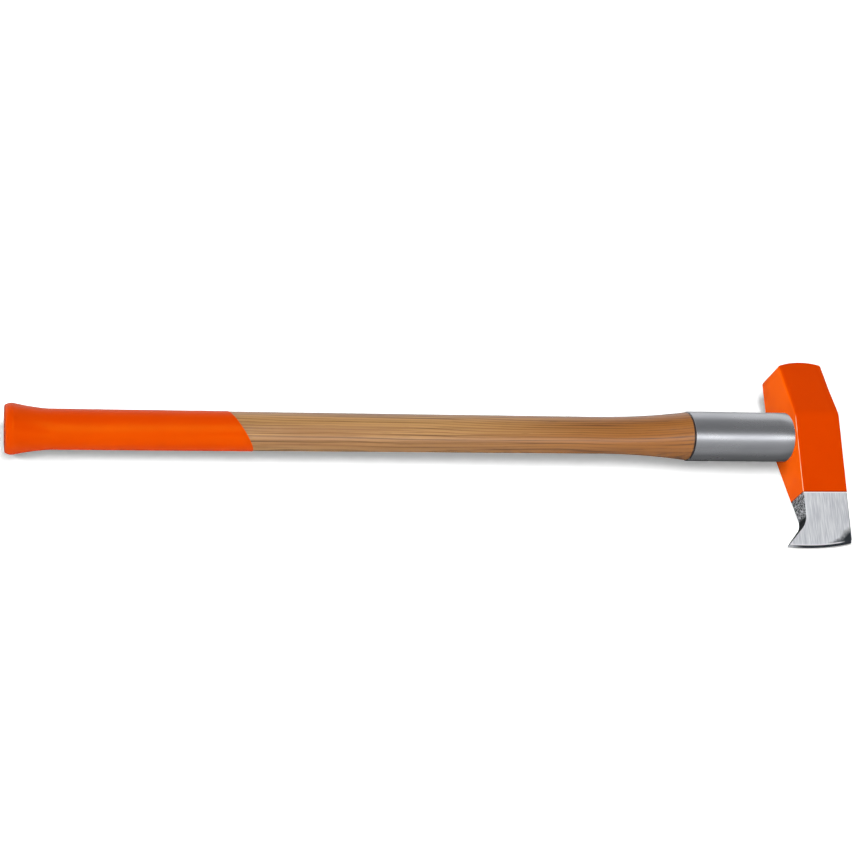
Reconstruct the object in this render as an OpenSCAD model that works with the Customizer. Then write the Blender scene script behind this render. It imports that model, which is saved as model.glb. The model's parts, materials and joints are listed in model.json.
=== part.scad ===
// Splitting maul: forged head with a turning hook, ash handle, protective sleeve.
// It lies on its lower cheek and on the knob of its handle, as on a table.
// +X runs along the handle to the head, -Y is the cutting edge's side, +Z is up.
// All sizes are in millimetres.

/* [Handle] */
// Length from the butt to the end of the tongue
handle_l = 850; // [800:5:900]
// Grip across its long axis, in line with the blade
grip_w = 39.6; // [36:0.2:42]
// Grip across its short axis
grip_t = 28; // [25:0.5:31]
// Knob across its long axis
knob_w = 48.6; // [46:0.2:52]
// Knob across its short axis
knob_t = 42; // [38:0.5:46]
// Length of the knob and the neck behind it
knob_l = 41; // [35:1:60]
// Diameter of the shoulder that the sleeve sits against
shoulder_d = 50; // [48:0.2:51]
// Length of the flare from the grip's section to the shoulder
flare_l = 100; // [80:5:140]
// How far the tongue stands out of the head
tongue_proud = 2; // [1:0.5:4]

/* [Grip coating] */
// Thickness of the dipped coating
grip_coat = 0.4; // [0.3:0.1:1]
// Distance of the dip line from the butt, on the handle's axis
dip_x = 218.5; // [150:0.5:260]
// How much the dip line leans, as run along the handle for each rise towards the poll
dip_lean = 0.57; // [0:0.01:0.8]

/* [Sleeve] */
// Outer diameter of the sleeve
sleeve_d = 51.4; // [51.2:0.2:54]
// Wall of the sleeve
sleeve_wall = 2; // [1.5:0.1:3]
// Length of the sleeve
sleeve_l = 112; // [90:1:130]
// Chamfer on the sleeve's lip
sleeve_chamfer = 0.8; // [0.4:0.1:1.2]

/* [Head] */
// Width of the head along the handle
head_w = 50.7; // [48:0.1:54]
// Height of the poll's crown above the handle's axis
poll_y = 79.5; // [75:0.5:84]
// Radius of the poll's crown
crown_r = 80; // [60:1:120]
// Distance of the crown's top from the middle of the head, away from the handle
crown_shift = 2.5; // [0:0.1:5]
// Radius of the round where the crown runs into the underside
crown_round = 6; // [2:0.5:10]
// Thickness of the poll where its outer face ends
poll_t = 42.3; // [40:0.1:46]
// Thickness of the head at its crease
crease_t = 66; // [64:0.5:70]
// Height of the crease above the handle's axis
crease_y = 12.4; // [8:0.2:16]
// Depth of the cutting edge below the handle's axis
edge_y = 125.4; // [118:0.2:130]
// Thickness of the wedge where it meets the edge, before the bevel is ground
edge_t = 3; // [2.5:0.1:5]
// Half angle of the ground bevel
bevel_angle = 42; // [35:1:50]
// Radius of the curved cutting edge
edge_r = 245; // [200:5:300]
// Thickness of the paint
paint_t = 0.3; // [0.2:0.05:0.5]
// Depth of the paint's lower border below the handle's axis
paint_y = 69; // [60:1:80]

/* [Turning hook] */
// Reach of the hook's tip beyond the underside
hook_reach = 24; // [18:0.5:28]
// Angle between the hook's upper side and the underside
hook_angle = 45; // [40:1:50]
// Radius of the hollow above the hook
hook_r = 20; // [12:1:22]

/* [Eye and wedges] */
// Length of the eye, in line with the blade
eye_w = 46; // [44:0.5:47]
// Width of the eye
eye_t = 31; // [28:0.5:34]
// Width of the wooden wedge
wedge_w = 40; // [34:0.5:42]
// Thickness of the wooden wedge at its driven end
wedge_t = 6; // [4:0.5:8]
// Depth that the wooden wedge is driven to
wedge_l = 38; // [30:1:44]
// Outer diameter of each ring wedge
ring_d = 15; // [12:0.5:16]
// Wall of each ring wedge
ring_wall = 1.6; // [1.2:0.1:2]
// Depth that each ring wedge is driven to
ring_l = 16; // [10:1:20]

/* [Hidden] */
sides = 48;                               // flats around the handle
gap = 0.05;                               // gap that keeps fitted wood clear
dip_lean_z = 0.08;                        // the dip line's small lean the other way
head_x = handle_l - tongue_proud;         // outer face of the head
under_x = head_x - head_w;                // underside of the head, on the handle's side
mid_x = head_x - head_w / 2;
sleeve_x1 = under_x - paint_t;            // the sleeve ends on the painted underside
sleeve_x0 = sleeve_x1 - sleeve_l;
bore_d = sleeve_d - 2 * sleeve_wall;
edge_x = under_x + 2.7;                   // the cutting edge is lowest near the hook
edge_flat = 0.3;                          // half width left on the cutting edge
poll_flat = 18.5;                         // half width of the crown between its chamfers
poll_lean = 0.51;                         // fall of those chamfers for each millimetre out
crown_c = [mid_x + crown_shift, poll_y - crown_r];
side_y = crown_c[1] + sqrt(pow(crown_r, 2) - pow(head_x - crown_c[0], 2));
wedge_slope = (crease_t - edge_t) / 2 / (crease_y + edge_y);
cheek_angle = atan(wedge_slope);
ring_y = 10.5;                            // place of each ring wedge from the handle's axis
axis_h = (crease_t / 2 + paint_t - crease_y * wedge_slope) * cos(cheek_angle);
knob_x = 6.5;                             // widest place of the knob
knob_h = norm([knob_w / 2 * sin(cheek_angle), knob_t / 2 * cos(cheek_angle)]) + grip_coat;
pitch = atan((axis_h - knob_h) / (under_x - paint_t - knob_x));

// Points of an arc
function arc(c, r, a0, a1, n) = [for (i = [0:n]) let (a = a0 + (a1 - a0) * i / n)
    c + r * [cos(a), sin(a)]];

// Share of the knob's extra width at a place along the handle: a rounded rim, then a neck
function knob_share(x) = x >= knob_l ? 0
    : x > knob_x ? pow((knob_l - x) / (knob_l - knob_x), 1.5)
    : 1 - 0.42 * pow(1 - x / knob_x, 2.4);

// Share of the shoulder's extra width at a place along the handle
function flare_share(x) = x <= sleeve_x0 - flare_l ? 0
    : pow((x - sleeve_x0 + flare_l) / flare_l, 2);

// Half axes of the handle's oval section, with the knob and the flare
function half_w(x) = grip_w / 2 + (knob_w - grip_w) / 2 * knob_share(x)
    + (shoulder_d - grip_w) / 2 * flare_share(x);
function half_t(x) = grip_t / 2 + (knob_t - grip_t) / 2 * knob_share(x)
    + (shoulder_d - grip_t) / 2 * flare_share(x);

// Section at a place along the handle, grown by a coating
function section(x, grow) = [for (i = [0:sides - 1]) let (a = 360 * i / sides)
    [x, (half_w(x) + grow) * cos(a), (half_t(x) + grow) * sin(a)]];

// Section on the knob's rim, pushed out over the butt by the coating
function rim_section(x, grow) = [for (p = section(x, grow))
    p - [grow * (1 - x / knob_x), 0, 0]];

// Section cut by the leaning dip line instead of square
function dip_section(x, grow) = [for (p = section(x, grow))
    [x - dip_lean * p[1] - dip_lean_z * p[2], p[1], p[2]]];

// Places of the sections: close together on the knob's rim and neck, and along the flare
rim_x = [for (i = [0:6]) knob_x * (1 - cos(90 * i / 6))];
neck_x = [for (i = [1:10]) knob_x + (knob_l - knob_x) * pow(i / 10, 1.2)];
flare_x = [for (i = [0:12]) sleeve_x0 - flare_l + flare_l * i / 12];

// Closed skin over rings of points that follow one another
module skin(rings) {
    n = len(rings[0]);
    last = len(rings) - 1;
    walls = [for (j = [0:last - 1], i = [0:n - 1]) let (k = (i + 1) % n)
        [j * n + k, j * n + i, (j + 1) * n + i, (j + 1) * n + k]];
    ends = [[for (i = [0:n - 1]) i], [for (i = [n - 1:-1:0]) last * n + i]];
    polyhedron([for (r = rings) each r], concat(ends, walls), convexity = 4);
}

// Turns from the maul's own axes to the way it lies: rolled onto its lower cheek,
// then pitched until its knob rests too, with the middle of its outline over the origin.
module lie() {
    poll_side = (poll_y + paint_t) * cos(cheek_angle) + poll_flat * sin(cheek_angle);
    edge_side = edge_y * cos(cheek_angle) + edge_flat * sin(cheek_angle);
    butt_end = -(grip_coat * cos(pitch) + knob_w / 2 * sin(pitch));
    tongue_end = handle_l * cos(pitch) + eye_t / 2 * sin(pitch);
    low = axis_h * cos(pitch) - (under_x - paint_t) * sin(pitch);
    translate([-(butt_end + tongue_end) / 2, -(poll_side - edge_side) / 2, low])
        rotate([0, -pitch, 0])
            rotate([cheek_angle, 0, 0])
                children();
}

// Side outline of the head, grown by the paint: a block with the turning hook and its hollow,
// and with the round that meets both the underside and the crown
module outline(grow) {
    x0 = under_x - grow;
    top = poll_y + 5;
    across = crown_c[0] - under_x - crown_round;
    rise = sqrt(pow(crown_r - crown_round, 2) - pow(across, 2));
    round_c = crown_c + [-across, rise];
    round_r = crown_round + grow;
    round_end = 180 - atan(rise / across);
    turn_y = -edge_y + hook_reach / tan(hook_angle) + 1.2;
    run = hook_r * tan(hook_angle / 2);
    centre = [x0 - hook_r, turn_y + run];
    tip = [x0 - hook_reach, turn_y - hook_reach / tan(hook_angle)];
    polygon(concat(
        [[head_x + grow, top], [head_x + grow, -edge_y - 5], [tip[0], -edge_y - 5], tip],
        arc(centre, hook_r, -hook_angle, 0, 10),
        arc(round_c, round_r, 180, round_end, 8),
        [[round_c[0] + round_r * cos(round_end), top]]));
}

// Wedge-shaped front view of the head, grown by the paint: poll, crease and bit
module front(grow) {
    c = [crease_y, crease_t / 2 + grow];
    p = [side_y, poll_t / 2 + grow];
    far = c + (p - c) * 1.4;
    e = [-edge_y - 5, edge_t / 2 + grow - 5 * wedge_slope];
    polygon([[far[0], far[1]], c, e, [e[0], -e[1]], [c[0], -c[1]], [far[0], -far[1]]]);
}

// The head before its eye is pierced
module head_block(grow) {
    big = 60;
    crown = crown_r + grow;
    drop = (big - poll_flat) * poll_lean;
    rim = edge_r + grow;
    fall = (big - edge_flat) / tan(bevel_angle);
    intersection() {
        translate([0, 0, -big])
            linear_extrude(2 * big) outline(grow);
        translate([under_x - big, 0, 0])
            rotate([90, 0, 90])
                linear_extrude(3 * big) front(grow);
        translate([crown_c[0], crown_c[1], 0]) union() {
            rotate_extrude($fn = 240)
                polygon([[0, -big], [crown - drop, -big], [crown, -poll_flat], [crown, poll_flat],
                         [crown - drop, big], [0, big]]);
            translate([-big * 1.5, -big * 4, -big])
                cube([big * 3, big * 4, big * 2]);
        }
        translate([edge_x, edge_r - edge_y, 0])
            rotate_extrude($fn = 360)
                polygon([[0, -big], [rim - fall, -big], [rim, -edge_flat], [rim, edge_flat],
                         [rim - fall, big], [0, big]]);
    }
}

// Oval with round ends, for the eye and the tongue
module oval(w, t, l) {
    for (s = [-1, 1])
        translate([0, s * (w - t) / 2, 0])
            rotate([0, 90, 0])
                cylinder(d = t, h = l, $fn = 96);
    translate([0, -(w - t) / 2, -t / 2])
        cube([l, w - t, t]);
}

// Wooden wedge, thick at its driven end
module wedge_shape() {
    thin = 1.5;
    translate([0, wedge_w / 2, 0])
        rotate([90, 0, 0])
            linear_extrude(wedge_w)
                polygon([[handle_l - wedge_l, -thin / 2], [handle_l, -wedge_t / 2],
                         [handle_l, wedge_t / 2], [handle_l - wedge_l, thin / 2]]);
}

// Steel ring driven across the wooden wedge
module ring_shape(side) {
    translate([handle_l - ring_l, side * ring_y, 0])
        rotate([0, 90, 0])
            difference() {
                cylinder(d = ring_d, h = ring_l, $fn = 96);
                translate([0, 0, -1])
                    cylinder(d = ring_d - 2 * ring_wall, h = ring_l + 2, $fn = 96);
            }
}

// Forged steel head with its eye and turning hook
module head() {
    color("#c9ccd1")
        lie()
            difference() {
                head_block(0);
                translate([under_x - 5, 0, 0])
                    oval(eye_w, eye_t, head_w + 10);
            }
}

// Paint over the head down to the ground bit, open at the eye
module head_paint() {
    color("#dc430a")
        lie()
            difference() {
                intersection() {
                    head_block(paint_t);
                    translate([under_x - 60, -paint_y, -60])
                        cube([180, 200, 120]);
                }
                head_block(0);
                translate([under_x - 5, 0, 0])
                    oval(eye_w, eye_t, head_w + 10);
            }
}

// Aluminium tube that guards the handle below the head
module sleeve() {
    r = sleeve_d / 2;
    color("#a6a8ab")
        lie()
            translate([sleeve_x0, 0, 0])
                rotate([0, 90, 0])
                    rotate_extrude($fn = 144)
                        polygon([[bore_d / 2, 0], [r - sleeve_chamfer, 0], [r, sleeve_chamfer],
                                 [r, sleeve_l], [bore_d / 2, sleeve_l]]);
}

// Ash handle: knob, oval grip, flared shoulder, tenon in the sleeve, tongue in the eye
module handle() {
    color("#aa8159")
        lie()
            difference() {
                union() {
                    skin([for (x = concat(rim_x, neck_x, flare_x)) section(x, 0)]);
                    translate([sleeve_x0 - 2, 0, 0])
                        rotate([0, 90, 0])
                            cylinder(d = bore_d - 2 * gap, h = under_x - sleeve_x0 + 2 - gap, $fn = 144);
                    translate([under_x - 2, 0, 0])
                        oval(eye_w - 2 * gap, eye_t - 2 * gap, handle_l - under_x + 2);
                }
                wedge_shape();
                for (s = [-1, 1])
                    ring_shape(s);
            }
}

// Dipped coating over the knob and the grip, closed over the butt: out along its outside,
// round the dip line and back along its inside
module grip_coating() {
    outside = concat([for (x = rim_x) rim_section(x, grip_coat)],
        [for (x = neck_x) section(x, grip_coat)], [dip_section(dip_x, grip_coat)]);
    inside = concat([for (x = rim_x) rim_section(x, gap)],
        [for (x = neck_x) section(x, gap)], [dip_section(dip_x, gap)]);
    color("#dc430a")
        lie()
            skin(concat(outside, [for (i = [len(inside) - 1:-1:0]) inside[i]]));
}

// Wooden wedge that spreads the tongue
module kerf_wedge() {
    color("#c79a63")
        lie()
            difference() {
                wedge_shape();
                for (s = [-1, 1])
                    ring_shape(s);
            }
}

// Steel ring wedge on the poll's side
module ring_wedge_poll() {
    color("#8a8d91")
        lie() ring_shape(1);
}

// Steel ring wedge on the bit's side
module ring_wedge_bit() {
    color("#8a8d91")
        lie() ring_shape(-1);
}

head();
head_paint();
sleeve();
handle();
grip_coating();
kerf_wedge();
ring_wedge_poll();
ring_wedge_bit();
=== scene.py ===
import json
import math

import bmesh
import bpy
from mathutils import Matrix, Vector


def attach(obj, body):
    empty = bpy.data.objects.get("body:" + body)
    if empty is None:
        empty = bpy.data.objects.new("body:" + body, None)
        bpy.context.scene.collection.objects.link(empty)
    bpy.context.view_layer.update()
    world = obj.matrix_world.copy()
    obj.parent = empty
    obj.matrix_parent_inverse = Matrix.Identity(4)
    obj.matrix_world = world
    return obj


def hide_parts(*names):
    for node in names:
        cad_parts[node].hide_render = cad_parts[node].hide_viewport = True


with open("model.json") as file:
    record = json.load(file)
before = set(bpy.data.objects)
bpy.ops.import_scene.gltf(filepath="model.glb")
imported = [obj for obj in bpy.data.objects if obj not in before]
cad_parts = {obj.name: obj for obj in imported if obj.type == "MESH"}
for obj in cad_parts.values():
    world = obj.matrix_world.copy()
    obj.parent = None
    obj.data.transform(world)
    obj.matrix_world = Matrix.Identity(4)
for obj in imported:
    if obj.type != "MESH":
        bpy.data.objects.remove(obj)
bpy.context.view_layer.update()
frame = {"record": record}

MM = 0.001

# ---------------------------------------------------------------- sizes, in millimetres
# The maul's own axes: X runs along the handle from its butt, Y points to the poll, and Z is
# square to the middle plane of the head. lay_down() takes them to the frame.

# Handle: oval grip, knob with its rim at KNOB_X, and a flare up to a round shoulder
HANDLE_L, TONGUE_PROUD = 850.0, 2.0
GRIP_W, GRIP_T = 39.6, 28.0
KNOB_W, KNOB_T, KNOB_L, KNOB_X = 48.6, 42.0, 41.0, 6.5
KNOB_CURVE, BUTT_TUCK, BUTT_CURVE = 1.5, 0.42, 2.4
SHOULDER_D, FLARE_L = 50.0, 100.0
SHOULDER_EDGE_L, SHOULDER_EDGE = 1.1, 0.9
TONGUE_EDGE_L, TONGUE_EDGE = 0.5, 0.8

# Dipped coating, whose border leans across the handle
COAT, COAT_LIP_L, COAT_LIP = 0.4, 0.1, 0.6
DIP_X, DIP_LEAN, DIP_LEAN_Z, DIP_BLEND_L = 218.5, 0.57, 0.08, 30.0

# Guard sleeve: rounded lip towards the grip, small chamfer against the head
SLEEVE_D, SLEEVE_WALL, SLEEVE_L = 51.4, 2.0, 112.0
LIP_R, SLEEVE_END_L, SLEEVE_END = 0.9, 0.3, 0.2
LIP_MARGIN = 0.3

# Head: wedge from the edge up to the crease, then a poll with a crowned top
HEAD_W, POLL_Y, POLL_T = 50.7, 79.5, 42.3
CROWN_R, CROWN_SHIFT, CROWN_ROUND, CROWN_FROM = 80.0, 2.5, 6.0, 52.0
POLL_FLAT, POLL_LEAN = 18.5, 0.51
CREASE_T, CREASE_Y, CREASE_BLEND, CROWN_BLEND = 66.0, 12.4, 2.2, 1.5
EDGE_Y, EDGE_T, EDGE_FLAT, BEVEL_ANGLE = 125.4, 3.0, 0.3, 42.0
EDGE_R, EDGE_SHIFT, BEND_Y, BEND_L = 245.0, 2.7, -88.0, 30.0
HOOK_REACH, HOOK_ANGLE, HOOK_R, HOOK_TIP = 24.0, 45.0, 20.0, 1.2
EDGE_ROUND, POLL_ROUND, ROUND_BLEND_L = 1.3, 3.6, 30.0
PAINT, PAINT_Y = 0.3, 69.0

# Eye and the wedges in it
EYE_W, EYE_T = 46.0, 31.0
WEDGE_W, WEDGE_T, WEDGE_L, WEDGE_THIN = 40.0, 6.0, 38.0, 1.5
RING_D, RING_WALL, RING_L, RING_Y, RING_EDGE = 15.0, 1.6, 16.0, 10.5, 0.25
GAP, RING_GAP = 0.05, 0.02
OVERSHOOT, EYE_OVERSHOOT = 1.0, 5.0         # how far a cutter reaches past what it cuts

# Points in a section, and steps in a rounded corner, along the pieces and across the head
SIDES, SLEEVE_SIDES, ROUND_STEPS = 96, 160, 6
RIM_STEPS, NECK_STEPS, SHAFT_STEPS, FLARE_STEPS = 10, 20, 40, 30
COAT_STEPS, SLEEVE_STEPS, HEAD_STEPS = 12, 8, 16

HEAD_X = HANDLE_L - TONGUE_PROUD
UNDER_X = HEAD_X - HEAD_W
SLEEVE_X1 = UNDER_X - PAINT
SLEEVE_X0 = SLEEVE_X1 - SLEEVE_L
FLARE_X = SLEEVE_X0 - FLARE_L
BORE_R = SLEEVE_D / 2 - SLEEVE_WALL
EDGE_X = UNDER_X + EDGE_SHIFT
CROWN_X, CROWN_Y = HEAD_X - HEAD_W / 2 + CROWN_SHIFT, POLL_Y - CROWN_R
SIDE_Y = CROWN_Y + math.sqrt(CROWN_R ** 2 - (HEAD_X - CROWN_X) ** 2)
WEDGE_SLOPE = (CREASE_T - EDGE_T) / 2 / (CREASE_Y + EDGE_Y)
POLL_SLOPE = (CREASE_T - POLL_T) / 2 / (SIDE_Y - CREASE_Y)
CHEEK = math.atan(WEDGE_SLOPE)


def lay_down():
    """Matrix from the maul's own axes to the frame, from the mounts that the record carries."""
    mounts = {m["name"]: m for m in frame["record"]["mounts"]}
    along = -Vector(mounts["sleeve"]["axis"]).normalized()
    down = Vector(mounts["lower_cheek"]["axis"]).normalized()
    up = Matrix.Rotation(CHEEK, 3, along) @ -down
    up = (up - up.dot(along) * along).normalized()
    matrix = Matrix((along, up.cross(along), up)).transposed().to_4x4()
    matrix.translation = Vector(mounts["butt_face"]["pos_m"]) + along * COAT * MM
    return matrix


LAID = lay_down()


# ---------------------------------------------------------------- numbers
def lerp(a, b, t):
    return a + (b - a) * t


def spread(a, b, steps):
    """Evenly spread values from a to b, with both ends."""
    return [lerp(a, b, i / steps) for i in range(steps + 1)]


def run(start, step, count):
    """Values from start on, one step apart."""
    return [start + step * i for i in range(count)]


def quarter(steps):
    """Angles from zero to a quarter turn."""
    return [math.pi / 2 * i / steps for i in range(steps + 1)]


def clamp(value):
    return min(1.0, max(0.0, value))


def soft_min(a, b, r):
    """Smaller of two heights, blended over r where they cross."""
    h = max(r - abs(a - b), 0.0) / r
    return min(a, b) - h * h * r / 4


# ---------------------------------------------------------------- meshes
def place(name, bm):
    """Object from a bmesh that is drawn in the maul's own axes, in millimetres."""
    bmesh.ops.recalc_face_normals(bm, faces=bm.faces)
    mesh = bpy.data.meshes.new(name)
    bm.to_mesh(mesh)
    bm.free()
    mesh.transform(LAID @ Matrix.Scale(MM, 4))
    obj = bpy.data.objects.new(name, mesh)
    bpy.context.scene.collection.objects.link(obj)
    return obj


def add_piece(name, bm, node, material, sharp=35.0):
    """Piece of the maul: its mesh, its material, and what it replaces in the CAD part."""
    obj = place(name, bm)
    obj.data.shade_smooth()
    obj.data.set_sharp_from_angle(angle=math.radians(sharp))
    obj.data.materials.append(material)
    obj.visible_diffuse = False         # throws no coloured light on the floor or on its neighbours
    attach(obj, "root")
    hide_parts(node)
    return obj


def skin(bm, rings, closed=False):
    """Joins rings of points, each a list of the same length, into one surface. It is capped at
    both ends, or closed on itself."""
    loops = [[bm.verts.new(p) for p in ring] for ring in rings]
    pairs = list(zip(loops, loops[1:]))
    if closed:
        pairs.append((loops[-1], loops[0]))
    for a, b in pairs:
        n = len(a)
        for i in range(n):
            k = (i + 1) % n
            bm.faces.new((a[i], a[k], b[k], b[i]))
    if not closed:
        bm.faces.new(loops[0])
        bm.faces.new(loops[-1])


def cut(obj, cutter):
    """Takes one object's shape out of another and removes the cutter."""
    bpy.context.view_layer.update()
    mod = obj.modifiers.new("cut", "BOOLEAN")
    mod.object = cutter
    mod.operation = "DIFFERENCE"
    mod.solver = "EXACT"
    with bpy.context.temp_override(object=obj, active_object=obj, selected_objects=[obj]):
        bpy.ops.object.modifier_apply(modifier=mod.name)
    bpy.data.objects.remove(cutter)


def turns(sides):
    return [2 * math.pi * i / sides for i in range(sides)]


def circle(x, r, sides=SIDES, y=0.0):
    return [Vector((x, y + r * math.cos(a), r * math.sin(a))) for a in turns(sides)]


def oval(x, w, t):
    """Oval with round ends, as long as w and as wide as t, with evenly spread points."""
    r, half = t / 2, (w - t) / 2
    per_end = SIDES // 2
    points = []
    for end in (1, -1):
        for i in range(per_end):
            a = -math.pi / 2 + math.pi * i / (per_end - 1)
            points.append(Vector((x, end * (half + r * math.cos(a)), end * r * math.sin(a))))
    return points[per_end // 2:] + points[:per_end // 2]


def tube(bm, x0, x1, r_in, r_out, chamfer=0.0, y=0.0):
    """Closed tube along X, with its outer corners chamfered."""
    if chamfer:
        profile = [(x0, r_in), (x0, r_out - chamfer), (x0 + chamfer, r_out),
                   (x1 - chamfer, r_out), (x1, r_out - chamfer), (x1, r_in)]
    else:
        profile = [(x0, r_in), (x0, r_out), (x1, r_out), (x1, r_in)]
    skin(bm, [circle(x, r, y=y) for x, r in profile], closed=True)


# ---------------------------------------------------------------- node trees
def srgb(r, g, b):
    """Linear colour for one that is given as the screen shows it."""
    def channel(v):
        v /= 255
        return v / 12.92 if v <= 0.04045 else ((v + 0.055) / 1.055) ** 2.4
    return (channel(r), channel(g), channel(b), 1.0)


WHITE = (1, 1, 1, 1)


class Tree:
    """Short way to build a node tree."""

    def __init__(self, tree):
        self.tree = tree

    def add(self, kind, **values):
        node = self.tree.nodes.new(kind)
        for key, value in values.items():
            setattr(node, key, value)
        return node

    def link(self, out, into):
        self.tree.links.new(out, into)

    def split(self, vector):
        node = self.add("ShaderNodeSeparateXYZ")
        self.link(vector, node.inputs[0])
        return node.outputs

    def range(self, value, low, high, to_low=0.0, to_high=1.0, smooth=True):
        node = self.add("ShaderNodeMapRange")
        node.interpolation_type = "SMOOTHSTEP" if smooth else "LINEAR"
        ends = {"From Min": low, "From Max": high, "To Min": to_low, "To Max": to_high}
        for key, end in ends.items():
            node.inputs[key].default_value = end
        self.link(value, node.inputs["Value"])
        return node.outputs["Result"]

    def math(self, operation, a, b=0.0):
        node = self.add("ShaderNodeMath", operation=operation)
        for value, socket in zip((a, b), node.inputs):
            if isinstance(value, (int, float)):
                socket.default_value = value
            else:
                self.link(value, socket)
        return node.outputs[0]

    def times(self, *values):
        """Product of two or more values."""
        product = values[0]
        for value in values[1:]:
            product = self.math("MULTIPLY", product, value)
        return product

    def mix(self, factor, a, b):
        node = self.add("ShaderNodeMix", data_type="RGBA")
        self.link(factor, node.inputs["Factor"])
        for value, socket in ((a, node.inputs["A"]), (b, node.inputs["B"])):
            if isinstance(value, tuple):
                socket.default_value = value
            else:
                self.link(value, socket)
        return node.outputs["Result"]


class Look(Tree):
    """Material with one Principled shader, placed in the maul's own axes. A value that is the
    same all over is given by its socket's name, with underscores for spaces."""

    def __init__(self, name, **sockets):
        self.material = bpy.data.materials.new(name)
        self.material.use_nodes = True
        super().__init__(self.material.node_tree)
        self.shader = self.tree.nodes["Principled BSDF"]
        for key, value in sockets.items():
            self.shader.inputs[key.replace("_", " ")].default_value = value
        own = self.add("ShaderNodeMapping", vector_type="TEXTURE")
        own.inputs["Location"].default_value = LAID.translation
        own.inputs["Rotation"].default_value = LAID.to_euler()
        self.link(self.add("ShaderNodeTexCoord").outputs["Object"], own.inputs["Vector"])
        self.place = own.outputs["Vector"]      # metres along the maul's own axes

    def noise(self, scale, detail=3.0, rough=0.5):
        """Noise with its own number of cycles to the metre along each axis, or one for all."""
        if isinstance(scale, (int, float)):
            scale = (scale,) * 3
        stretch = self.add("ShaderNodeMapping")
        stretch.inputs["Scale"].default_value = scale
        self.link(self.place, stretch.inputs["Vector"])
        node = self.add("ShaderNodeTexNoise")
        node.inputs["Scale"].default_value = 1.0
        node.inputs["Detail"].default_value = detail
        node.inputs["Roughness"].default_value = rough
        self.link(stretch.outputs["Vector"], node.inputs["Vector"])
        return node.outputs["Fac"]

    def axis(self, letter):
        return self.split(self.place)[letter]

    def facing(self, letter):
        """How far the surface looks along an axis of the frame."""
        return self.split(self.add("ShaderNodeNewGeometry").outputs["Normal"])[letter]

    def span(self, value, low, high, to_low=0.0, to_high=1.0):
        """Range with its limits in millimetres, for a value in metres."""
        return self.range(value, low * MM, high * MM, to_low, to_high)

    def band(self, value, rise, fall, unit=1.0):
        """Zero outside the rise and the fall, and one between them."""
        rising = self.range(value, rise[0] * unit, rise[1] * unit)
        return self.times(rising, self.range(value, fall[1] * unit, fall[0] * unit))

    def distance(self, x, y, x0, y0):
        """Metres, in the plane of the head, from a point that is given in millimetres."""
        dx, dy = self.math("SUBTRACT", x, x0 * MM), self.math("SUBTRACT", y, y0 * MM)
        return self.math("SQRT", self.math("ADD", self.times(dx, dx), self.times(dy, dy)))

    def bump(self, height, depth, strength):
        """Bumps of a depth that is given in millimetres."""
        node = self.add("ShaderNodeBump")
        node.inputs["Distance"].default_value = depth * MM
        node.inputs["Strength"].default_value = strength
        self.link(height, node.inputs["Height"])
        self.link(node.outputs["Normal"], self.shader.inputs["Normal"])

    def to(self, out, socket):
        self.link(out, self.shader.inputs[socket])


# ---------------------------------------------------------------- materials
def paint_material(name, flat, side, roughness, gloss, edge_light_and_shade=False):
    """Orange paint, with the faces that look towards the butt painted lighter and yellower, as
    painted light.
    When asked for, a painted highlight also runs along the edges of the wedge, and a painted shade
    along its border above the bit."""
    sheen, deep = (1.0, 0.62, 0.02, 1.0), srgb(214, 60, 0)
    fade_l, border_from, border_to = 8, 1.1, 0.5        # millimetres
    n = Look(name, Roughness=roughness, Specular_IOR_Level=gloss, Specular_Tint=sheen)
    # Painted light: the faces that look towards the butt get the lighter, yellower side colour.
    to_butt = n.times(n.facing("X"), -1.0)
    tone = n.mix(n.range(to_butt, 0.55, 0.95), flat, side)
    tone = n.mix(n.range(n.noise(24, detail=2.0), 0.35, 0.7, 0.0, 0.3), tone, deep)
    if edge_light_and_shade:
        # The pale colour is a painted highlight for the wedge's edges, and the dark one a painted
        # shade for the paint's border above the bit.
        edge_highlight, border = srgb(255, 214, 176), srgb(120, 36, 14)
        y = n.axis("Y")
        # Painted highlight along the rounded edges of the wedge, below the crease, broken up by
        # noise.
        edge = n.band(to_butt, (0.55, 0.63), (0.8, 0.87))
        below_crease = n.span(y, CREASE_Y, CREASE_Y - fade_l)
        patchy = n.range(n.noise((90, 60, 90), detail=2.0), 0.3, 0.55, 0.25, 0.8)
        tone = n.mix(n.times(edge, below_crease, patchy), tone, edge_highlight)
        # Painted shade along the paint's border above the bit.
        border_shade = n.span(y, border_from - PAINT_Y, border_to - PAINT_Y, 0.0, 0.6)
        tone = n.mix(border_shade, tone, border)
    n.to(tone, "Base Color")
    n.bump(n.noise(420, detail=2.0), depth=0.1, strength=0.3)
    return n.material


def growth_rings(n):
    """Saw-toothed growth rings across the maul's Y axis, which wander along the handle."""
    spacing, wander = 0.0026, 0.030         # metres
    shift = n.times(n.noise((1.7, 15, 15), rough=0.45), wander)
    return n.math("FRACT", n.math("DIVIDE", n.math("ADD", n.axis("Y"), shift), spacing))


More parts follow.
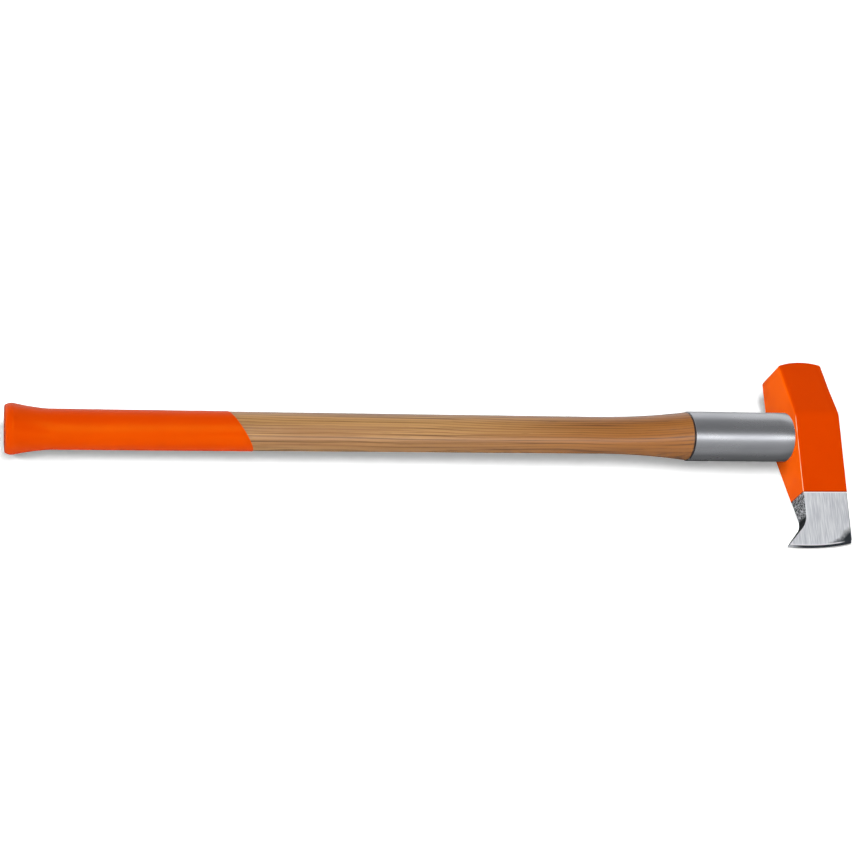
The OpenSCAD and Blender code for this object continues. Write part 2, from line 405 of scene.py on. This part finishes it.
def wood_material(name, light, mid, dark, sleeve_end=None):
    """Varnished ash with its grain along X: growth rings, fibres and pores. Towards the end of
    the sleeve, if one is given, it gets warmer, and a dark line of painted shade runs round it at
    the joint."""
    warm_l, warm_end, seam_rise, seam_fall = 320, 20, (-2.2, -1.4), (1.0, 2.0)  # millimetres
    n = Look(name, Specular_IOR_Level=0.3, Coat_Weight=1.0, Coat_IOR=1.6, Coat_Roughness=0.2)
    broad = n.noise((3.0, 70, 70))
    fibres = n.noise((4, 680, 70), detail=4.0, rough=0.62)
    pores = n.noise((38, 1150, 1150), detail=2.0, rough=0.6)
    late_wood = n.range(growth_rings(n), 0.5, 0.97)
    late_wood = n.times(late_wood, n.range(fibres, 0.36, 0.6, 0.3, 1.0), 0.72)
    tone = n.mix(n.range(broad, 0.35, 0.65), light, mid)
    if sleeve_end is not None:
        x = n.axis("X")
        warm = n.span(x, sleeve_end - warm_l, sleeve_end - warm_end, 0.0, 0.95)
        tone = n.mix(warm, tone, srgb(158, 96, 30))
    tone = n.mix(late_wood, tone, dark)
    tone = n.mix(n.range(fibres, 0.53, 0.68, 0.0, 0.75), tone, dark)
    tone = n.mix(n.range(pores, 0.62, 0.74, 0.0, 0.45), tone, dark)
    if sleeve_end is not None:
        # Painted shade: a dark line on the wood at the sleeve's end, where the gap between them is
        # in shade.
        from_end = n.math("SUBTRACT", x, sleeve_end * MM)
        joint_shade = n.times(n.band(from_end, seam_rise, seam_fall, MM), 0.95)
        tone = n.mix(joint_shade, tone, srgb(40, 28, 24))
    n.to(tone, "Base Color")
    n.to(n.range(pores, 0.3, 0.75, 0.36, 0.52), "Roughness")
    relief = n.math("ADD", n.times(pores, 0.5), n.times(fibres, 0.5))
    n.bump(relief, depth=0.08, strength=0.4)
    return n.material


def sleeve_material():
    """Drawn aluminium with faint lines along it."""
    n = Look("drawn_aluminium", Metallic=1.0)
    lines = n.noise((12, 700, 700), rough=0.6)
    cloud = n.noise((16, 50, 50))
    tone = n.mix(n.range(cloud, 0.3, 0.7), srgb(216, 218, 223), srgb(204, 206, 212))
    tone = n.mix(n.range(lines, 0.45, 0.75, 0.0, 0.2), tone, srgb(176, 178, 184))
    n.to(tone, "Base Color")
    n.to(n.range(cloud, 0.3, 0.7, 0.26, 0.3), "Roughness")
    n.bump(lines, depth=0.01, strength=0.2)
    return n.material


def steel_material():
    """Ground steel. Brush lines run down the wedge, over a smoked strip, a painted highlight along
    the top of the bevel, a bevel in painted shade, and a dark toe. In the hollow of the hook the
    forging's black scale is left, with painted shade darkest low in the hollow."""
    toe_y, hook_foot, hook_tip = -119.5, -90.5, -96.0       # millimetres
    grey, pale, cool = srgb(206, 209, 216), srgb(246, 248, 251), srgb(194, 198, 207)
    # The second colour here is a painted highlight for the top of the bevel, and the third is a
    # painted shade for the bevel that also colours the dark toe.
    smoked, bevel_highlight, bevel_shade_and_toe = srgb(58, 62, 68), srgb(253, 253, 255), srgb(46, 50, 56)
    shaded, scale, scoured = srgb(120, 124, 132), srgb(40, 43, 48), srgb(226, 228, 232)
    n = Look("ground_steel", Metallic=0.55)
    x, y = n.axis("X"), n.axis("Y")
    brush = n.noise((1400, 55, 55), detail=2.0)
    tone = n.mix(n.range(brush, 0.3, 0.7), grey, pale)
    tone = n.mix(n.range(n.noise((110, 30, 30)), 0.5, 0.78, 0.0, 0.25), tone, cool)

    # Distance in from the cutting edge, with a ragged line for the smoke and the toe
    inward = n.math("SUBTRACT", EDGE_R * MM, n.distance(x, y, EDGE_X, EDGE_R - EDGE_Y))
    ragged = n.times(n.noise(300), 0.005)
    to_toe = n.span(x, HEAD_X - 36, HEAD_X - 12)
    depth = n.math("SUBTRACT", n.math("ADD", inward, ragged), n.times(to_toe, 0.0035))
    smoke = n.times(n.span(depth, 7.2, 3.4), to_toe, 0.9)
    tone = n.mix(smoke, tone, smoked)
    # Painted highlight: a bright line along the top of the bevel.
    tone = n.mix(n.times(n.band(inward, (1.8, 2.2), (2.6, 3.2), MM), 0.85), tone, bevel_highlight)
    # Painted shade: the bevel is coloured dark. The dark toe shares the same colour.
    bevel = n.times(n.span(inward, 2.1, 1.8), n.span(x, UNDER_X - 24, UNDER_X - 6, 0.25, 1.0))
    toe = n.math("ADD", n.distance(x, y, HEAD_X, toe_y), ragged)
    tone = n.mix(n.math("MAXIMUM", bevel, n.span(toe, 10.0, 18.0, 1.0, 0.0)), tone, bevel_shade_and_toe)
    tone = n.mix(n.span(x, HEAD_X - 1.9, HEAD_X - 0.9, 0.0, 0.7), tone, shaded)
    tone = n.mix(n.span(y, -1.6 - PAINT_Y, -0.8 - PAINT_Y), tone, WHITE)

    # The side that looks towards the butt is the hook's hollow
    side = n.range(n.times(n.facing("X"), -1.0), 0.45, 0.6)
    rough = n.noise(560, detail=4.0, rough=0.75)
    bark = n.mix(n.range(rough, 0.42, 0.61), scale, scoured)
    # Painted shade: the scale gets darker still from hook_foot down towards hook_tip and below,
    # deep in the hollow.
    bark = n.mix(n.span(y, hook_foot, hook_tip), bark, srgb(34, 36, 40))
    n.to(n.mix(side, tone, bark), "Base Color")
    worn_rough = n.range(brush, 0.3, 0.7, 0.34, 0.5)
    n.to(n.math("ADD", worn_rough, n.times(side, 0.25)), "Roughness")
    n.bump(n.math("ADD", brush, n.times(rough, side, 4.0)), depth=0.06, strength=0.5)
    return n.material


def plain_steel_material():
    n = Look("wedge_steel", Metallic=1.0)
    grain = n.noise(700)
    n.to(n.mix(grain, srgb(120, 122, 126), srgb(170, 172, 176)), "Base Color")
    n.to(n.range(grain, 0.3, 0.7, 0.35, 0.55), "Roughness")
    return n.material


# ---------------------------------------------------------------- handle, coating and sleeve
def knob_share(x):
    """How much of the knob's extra size the section at x has."""
    if x >= KNOB_L:
        return 0.0
    if x > KNOB_X:
        return ((KNOB_L - x) / (KNOB_L - KNOB_X)) ** KNOB_CURVE
    return 1 - BUTT_TUCK * (1 - max(x, 0) / KNOB_X) ** BUTT_CURVE


def flare_share(x):
    """How much of the shoulder's extra size the section at x has."""
    return 0.0 if x <= FLARE_X else ((x - FLARE_X) / FLARE_L) ** 2


def section(x, grow=0.0, lift=0.0):
    """Oval section of the handle; lift pushes the knob's rim out over the butt."""
    knob, flare = knob_share(x), flare_share(x)
    w = GRIP_W / 2 + (KNOB_W - GRIP_W) / 2 * knob + (SHOULDER_D - GRIP_W) / 2 * flare + grow
    t = GRIP_T / 2 + (KNOB_T - GRIP_T) / 2 * knob + (SHOULDER_D - GRIP_T) / 2 * flare + grow
    return [Vector((x - lift, w * math.cos(a), t * math.sin(a))) for a in turns(SIDES)]


def handle_stations():
    """Places of the sections, from the butt to just below the shoulder's edge."""
    closer_at_rim = 1.2
    rim = [KNOB_X * (1 - math.cos(a)) for a in quarter(RIM_STEPS)[:-1]]
    neck = [lerp(KNOB_X, KNOB_L, t ** closer_at_rim) for t in spread(0, 1, NECK_STEPS)]
    shaft = spread(KNOB_L, FLARE_X, SHAFT_STEPS)[1:]
    return rim + neck + shaft + spread(FLARE_X, SLEEVE_X0, FLARE_STEPS)[1:-1]


def make_handle():
    bm = bmesh.new()
    rings = [section(x) for x in handle_stations()]
    rings += [section(SLEEVE_X0 - SHOULDER_EDGE_L), section(SLEEVE_X0, -SHOULDER_EDGE)]
    tenon, tongue_x = BORE_R - GAP, UNDER_X - GAP
    rings += [circle(SLEEVE_X0, tenon), circle(tongue_x, tenon)]
    w, t = EYE_W - 2 * GAP, EYE_T - 2 * GAP
    rings += [oval(x, w, t) for x in (tongue_x, HANDLE_L - TONGUE_EDGE_L)]
    rings.append(oval(HANDLE_L, w - TONGUE_EDGE, t - TONGUE_EDGE))
    skin(bm, rings)
    light, mid, dark = srgb(188, 142, 86), srgb(166, 118, 66), srgb(90, 52, 21)
    wood = wood_material("ash", light, mid, dark, SLEEVE_X0)
    handle = add_piece("handle_wood", bm, "handle", wood)
    cut(handle, place("cutter", wedge_bmesh(OVERSHOOT)))
    cut_rings(handle)


def make_coat():
    """Dipped coating: out along its outside, round its lip and back along the wood."""
    stations = [x for x in handle_stations() if x <= KNOB_L]

    def knob_part(grow):
        return [section(x, grow, grow * max(0.0, 1 - x / KNOB_X)) for x in stations]

    def dip(x, grow):
        return [Vector((x - DIP_LEAN * p.y - DIP_LEAN_Z * p.z, p.y, p.z))
                for p in section(x, grow)]

    leaning = [dip(x, COAT) for x in spread(KNOB_L + DIP_BLEND_L, DIP_X, COAT_STEPS)]
    lip = dip(DIP_X + COAT_LIP_L, COAT * COAT_LIP)
    inside = knob_part(GAP) + [dip(DIP_X, GAP)]
    bm = bmesh.new()
    skin(bm, knob_part(COAT) + leaning + [lip] + inside[::-1])
    # The side colour is painted light: lighter and yellower on the knob's faces that look towards
    # the butt.
    paint = paint_material("dipped_orange", flat=srgb(220, 68, 0), side=srgb(226, 78, 0),
                           roughness=0.26, gloss=0.3)
    add_piece("grip_coat", bm, "grip_coating", paint)


def make_sleeve():
    r = SLEEVE_D / 2
    lip = [(SLEEVE_X0 + LIP_R * (1 - math.cos(a)), r - LIP_R + LIP_R * math.sin(a))
           for a in quarter(ROUND_STEPS)]
    body_x = spread(SLEEVE_X0 + LIP_R + LIP_MARGIN, SLEEVE_X1 - SLEEVE_END_L, SLEEVE_STEPS)
    body = [(x, r) for x in body_x]
    end = [(SLEEVE_X1, r - SLEEVE_END), (SLEEVE_X1, BORE_R)]
    bm = bmesh.new()
    profile = [(SLEEVE_X0, BORE_R)] + lip + body + end
    skin(bm, [circle(x, q, SLEEVE_SIDES) for x, q in profile], closed=True)
    add_piece("guard_sleeve", bm, "sleeve", sleeve_material(), sharp=50.0)


# ---------------------------------------------------------------- wedges
def wedge_bmesh(grow=0.0):
    """Wooden wedge, thin end first; grow lengthens it past the end of the handle."""
    bm = bmesh.new()
    x0, w = HANDLE_L - WEDGE_L, WEDGE_W / 2
    rise = (WEDGE_T - WEDGE_THIN) / 2 / WEDGE_L
    rings = []
    for x in (x0, HANDLE_L + grow):
        t = WEDGE_THIN / 2 + (x - x0) * rise
        rings.append([Vector((x, y, z)) for y, z in ((w, t), (-w, t), (-w, -t), (w, -t))])
    skin(bm, rings)
    return bm


def cut_rings(obj):
    """Cuts the slots of the two ring wedges."""
    for side in (1, -1):
        bm = bmesh.new()
        tube(bm, HANDLE_L - RING_L, HANDLE_L + OVERSHOOT, RING_D / 2 - RING_WALL, RING_D / 2,
             y=side * RING_Y)
        cut(obj, place("cutter", bm))


def make_wedges():
    light, mid, dark = srgb(205, 165, 118), srgb(188, 144, 98), srgb(140, 100, 62)
    wood = wood_material("wedge_ash", light, mid, dark)
    cut_rings(add_piece("wood_wedge", wedge_bmesh(), "kerf_wedge", wood))
    steel = plain_steel_material()
    for side, word in ((1, "poll"), (-1, "bit")):
        bm = bmesh.new()
        tube(bm, HANDLE_L - RING_L, HANDLE_L, RING_D / 2 - RING_WALL + RING_GAP,
             RING_D / 2 - RING_GAP, RING_EDGE, side * RING_Y)
        add_piece("ring_" + word, bm, "ring_wedge_" + word, steel, sharp=30.0)


# ---------------------------------------------------------------- head
def cheek(x, y, grow):
    """Half thickness of the head at a place on its side outline."""
    wedge = CREASE_T / 2 - (CREASE_Y - y) * WEDGE_SLOPE
    poll = CREASE_T / 2 - (y - CREASE_Y) * POLL_SLOPE
    z = soft_min(wedge, poll, CREASE_BLEND) + grow
    if y > CROWN_Y:
        d = CROWN_R + grow - math.hypot(x - CROWN_X, y - CROWN_Y)
        z = soft_min(z, POLL_FLAT + max(d, 0) / POLL_LEAN, CROWN_BLEND)
    d = EDGE_R - math.hypot(x - EDGE_X, y - (EDGE_R - EDGE_Y))
    return min(z, EDGE_FLAT + max(d, 0) * math.tan(math.radians(BEVEL_ANGLE)))


def left_side(y, grow):
    """Underside of the head, with the hook and its hollow."""
    x0, angle = UNDER_X - grow, math.radians(HOOK_ANGLE)
    turn_y = -EDGE_Y + HOOK_REACH / math.tan(angle) + HOOK_TIP
    top = turn_y + HOOK_R * math.tan(angle / 2)
    foot = top - HOOK_R * math.sin(angle)
    if y >= top:
        return x0
    if y >= foot:
        return x0 - HOOK_R + math.sqrt(HOOK_R ** 2 - (top - y) ** 2)
    return x0 - (turn_y - y) * math.tan(angle)


def fall(x, radius, top_x):
    """How far an arc of this radius has fallen away from its top at x."""
    return radius - math.sqrt(radius ** 2 - (x - top_x) ** 2)


def crown_top(x, grow):
    """Upper end of the head's side outline: the crown, and the round at the underside."""
    reach = CROWN_X - UNDER_X - CROWN_ROUND
    rise = math.sqrt((CROWN_R - CROWN_ROUND) ** 2 - reach ** 2)
    touch = CROWN_X - reach * CROWN_R / (CROWN_R - CROWN_ROUND)
    if x >= touch:
        return POLL_Y + grow - fall(x, CROWN_R + grow, CROWN_X)
    r = CROWN_ROUND + grow
    across = min(r, UNDER_X + CROWN_ROUND - x)
    return CROWN_Y + rise + math.sqrt(r ** 2 - across ** 2)


def row_y(x, base, grow):
    """Height of one row across the head: bent with the edge below, and with the crown on top."""
    bend = clamp((BEND_Y - base) / BEND_L)
    if bend > 0:
        return base + bend * fall(x, EDGE_R, EDGE_X)
    share = (base - CROWN_FROM) / (POLL_Y + grow - CROWN_FROM)
    if share > 0:
        crowned = CROWN_FROM + share * (crown_top(x, grow) - CROWN_FROM)
        fully_from = 2 / 3          # of the way up, rows follow the crown in full
        return lerp(base, crowned, min(1.0, share / fully_from))
    return base


def row_left(base, grow):
    """Left end of a row, where it meets the head's underside, found step by step."""
    rounds = 12         # more than enough to settle
    x = left_side(base, grow)
    for _ in range(rounds):
        x = left_side(row_y(x, base, grow), grow)
    return x


def head_rows(y_low, y_high):
    """Heights of the rows, close together where the head's surface turns."""
    bit = run(-EDGE_Y, 0.35, 14) + run(-EDGE_Y + 5, 1, 10) + run(-110, 0.8, 24)
    middle = run(-90, 4, 24) + run(6, 0.8, 17)
    poll = run(20, 4, 12) + run(66, 0.8, 11)
    crown = [y_high - v for v in (0.3, 0.6, 0.9, 1.2, 1.5, 1.8, 2.2, 2.7, 3.4, 4.4)]
    rows = sorted({round(y, 2) for y in bit + middle + poll + crown})
    least = 0.15        # rows keep this far from both ends
    return [y_low] + [y for y in rows if y_low + least < y < y_high - least] + [y_high]


def head_bmesh(y_low, grow):
    """Closed head from y_low to the crown: two cheeks over one outline, and walls between."""
    most_width, most_height = 0.2, 0.6      # shares that a rounded corner takes at most
    right = HEAD_X + grow
    bm = bmesh.new()
    top, low = [], []           # rows of vertices on the two cheeks
    for base in head_rows(y_low, POLL_Y + grow):
        left = row_left(base, grow)
        poll_share = clamp((base - CREASE_Y) / ROUND_BLEND_L)
        radius = lerp(EDGE_ROUND, POLL_ROUND, poll_share) + grow
        near = [min(radius * (1 - math.cos(a)), (right - left) * most_width)
                for a in quarter(ROUND_STEPS)]
        across = [left + d for d in near]
        across += spread(left + near[-1], right - near[-1], HEAD_STEPS)[1:-1]
        across += [right - d for d in reversed(near)]
        top.append([])
        low.append([])
        for x in across:
            y = row_y(x, base, grow)
            z = cheek(x, y, grow)
            d = min(x - left, right - x, radius)
            drop = 1 - math.sqrt(max(0.0, 1 - (1 - d / radius) ** 2))
            z -= min(radius, z * most_height) * drop
            top[-1].append(bm.verts.new((x, y, z)))
            low[-1].append(bm.verts.new((x, y, -z)))
    for sheet in (top, low):
        for a, b in zip(sheet, sheet[1:]):
            for i in range(len(a) - 1):
                bm.faces.new((a[i], a[i + 1], b[i + 1], b[i]))
    for end in (0, -1):
        for a, b, c, d in zip(top, top[1:], low, low[1:]):
            bm.faces.new((a[end], b[end], d[end], c[end]))
        for a, b, c, d in zip(top[end], top[end][1:], low[end], low[end][1:]):
            bm.faces.new((a, b, d, c))
    return bm


def make_head():
    """Steel head, and its paint as a skin round it. Neither is mirrored, because the sleeve
    shows almost no orange."""
    bit = steel_material()
    # The side colour is painted light: lighter and yellower on the faces that look towards the
    # butt.
    orange = paint_material("head_orange", flat=srgb(219, 66, 0), side=srgb(250, 96, 0),
                            # The last flag turns on the painted highlight along the wedge's edges
                            # and the painted shade along the paint's border.
                            roughness=0.4, gloss=0.05, edge_light_and_shade=True)
    steel = add_piece("head_steel", head_bmesh(-EDGE_Y, 0.0), "head", bit,
                      sharp=30.0)
    paint = add_piece("head_coat", head_bmesh(-PAINT_Y, PAINT), "head_paint",
                      orange, sharp=30.0)
    cut(paint, place("cutter", head_bmesh(-EDGE_Y, 0.0)))
    eye_ends = (UNDER_X - EYE_OVERSHOOT, HEAD_X + EYE_OVERSHOOT)
    for piece in (steel, paint):
        piece.visible_glossy = False
        eye = bmesh.new()
        skin(eye, [oval(x, EYE_W, EYE_T) for x in eye_ends])
        cut(piece, place("cutter", eye))


# ---------------------------------------------------------------- floor, light and camera
FLOOR_HALF = 80.0                           # metres from the middle to the floor's rim
FLOOR_TONE = (1.2, 1.2, 1.2, 1)             # past white, so that only shadows are grey
GLOW_FROM, GLOW_TO = 500.0, 1300.0          # millimetres from the middle of the handle
GLOW_NEAR, GLOW_FAR = 0.15, 1.0

# What gloss mirrors: degrees round X from straight up towards the blade, and brightness. It is
# dim overhead and dark below, with a bright strip to the front, a dimmer wall under that strip
# and a bright wall behind.
STUDIO = [(-180, 0.05), (-135, 0.08), (-112, 0.5), (-92, 0.8), (-64, 0.7), (-44, 0.28),
          (-5, 0.20), (20, 0.22), (31, 0.7), (37, 1.62), (46, 1.62), (54, 0.5), (84, 0.34),
          (112, 0.32), (140, 0.14)]

# Lamps: name, place, what it aims at, width and height in metres, and power in watts
LAMPS = [("overhead", (-0.12, -0.3, 2.0), (0.05, 0, 0), 1.6, 0.5, 34.5),
         ("front_fill", (0.1, -2.2, 0.95), (0.1, 0, 0), 2.4, 0.5, 17),
         ("left_fill", (-2.5, 0.15, 1.15), (0.4, 0, 0), 0.5, 0.8, 26),
         ("right_fill", (3.0, 0.2, 0.9), (0.2, 0, 0), 0.8, 0.8, 5)]


def make_floor():
    """Pale floor that glows more with distance, so that it is white to the horizon. Metal
    doesn't mirror it: it mirrors the studio."""
    bm = bmesh.new()
    bmesh.ops.create_grid(bm, x_segments=1, y_segments=1, size=FLOOR_HALF)
    mesh = bpy.data.meshes.new("floor")
    bm.to_mesh(mesh)
    bm.free()
    obj = bpy.data.objects.new("floor", mesh)
    bpy.context.scene.collection.objects.link(obj)
    obj.visible_glossy = False
    n = Look("floor_white", Roughness=0.9, Specular_IOR_Level=0.0, Base_Color=FLOOR_TONE,
             Emission_Color=WHITE)
    away = n.distance(n.axis("X"), n.axis("Y"), HANDLE_L / 2, 0.0)
    n.to(n.span(away, GLOW_FROM, GLOW_TO, GLOW_NEAR, GLOW_FAR), "Emission Strength")
    mesh.materials.append(n.material)


def make_studio():
    """World that only gloss mirrors: it lights nothing, and the camera sees plain white."""
    world = bpy.data.worlds.new("studio")
    world.use_nodes = True
    t = Tree(world.node_tree)
    towards = t.split(t.add("ShaderNodeTexCoord").outputs["Generated"])
    angle = t.math("ARCTAN2", t.times(towards["Y"], -1.0), towards["Z"])
    ramp = t.add("ShaderNodeValToRGB")
    t.link(t.range(angle, -math.pi, math.pi, smooth=False), ramp.inputs["Fac"])
    stops = ramp.color_ramp.elements
    stops.remove(stops[0])
    for i, (degrees, level) in enumerate(STUDIO):
        share = degrees / 360 + 0.5
        stop = stops.new(share) if i else stops[0]
        stop.position = share
        stop.color = (level, level, level, 1)
    camera_ray = t.add("ShaderNodeLightPath").outputs["Is Camera Ray"]
    seen = t.mix(camera_ray, ramp.outputs["Color"], WHITE)
    t.link(seen, t.tree.nodes["Background"].inputs["Color"])
    bpy.context.scene.world = world
    world.cycles_visibility.diffuse = False


def make_lamps():
    """Soft lamps, none of which is mirrored."""
    for name, spot, target, width, height, power in LAMPS:
        lamp = bpy.data.lights.new(name, "AREA")
        lamp.shape = "RECTANGLE"
        lamp.size, lamp.size_y, lamp.energy = width, height, power
        obj = bpy.data.objects.new(name, lamp)
        obj.location = spot
        aim = Vector(spot) - Vector(target)
        obj.rotation_euler = aim.to_track_quat("Z", "X").to_euler()
        obj.visible_glossy = False
        bpy.context.scene.collection.objects.link(obj)


def make_camera():
    """Camera at the height and side from which the maul is seen, aimed at its handle. Its place
    and turns are in the maul's own axes."""
    tilt, turn, roll = -0.454, 0.289, -0.012
    distance, aim = 1.7003, Vector((0.40804, 0.00479, 0))
    camera = bpy.data.cameras.new("camera")
    camera.sensor_width, camera.lens = 36.0, 72.07
    seen = (Matrix.Rotation(roll, 4, "Z") @ Matrix.Rotation(turn, 4, "Y")
            @ Matrix.Rotation(tilt, 4, "X"))
    spot = Matrix.Translation(aim) @ seen.inverted() @ Matrix.Translation((0, 0, distance))
    obj = bpy.data.objects.new("camera", camera)
    bpy.context.scene.collection.objects.link(obj)
    obj.matrix_world = LAID @ spot
    bpy.context.scene.camera = obj


make_camera()
make_handle()
make_coat()
make_sleeve()
make_wedges()
make_head()
make_floor()
make_studio()
make_lamps()
bpy.context.scene.view_settings.view_transform = "Standard"

bpy.context.view_layer.update()
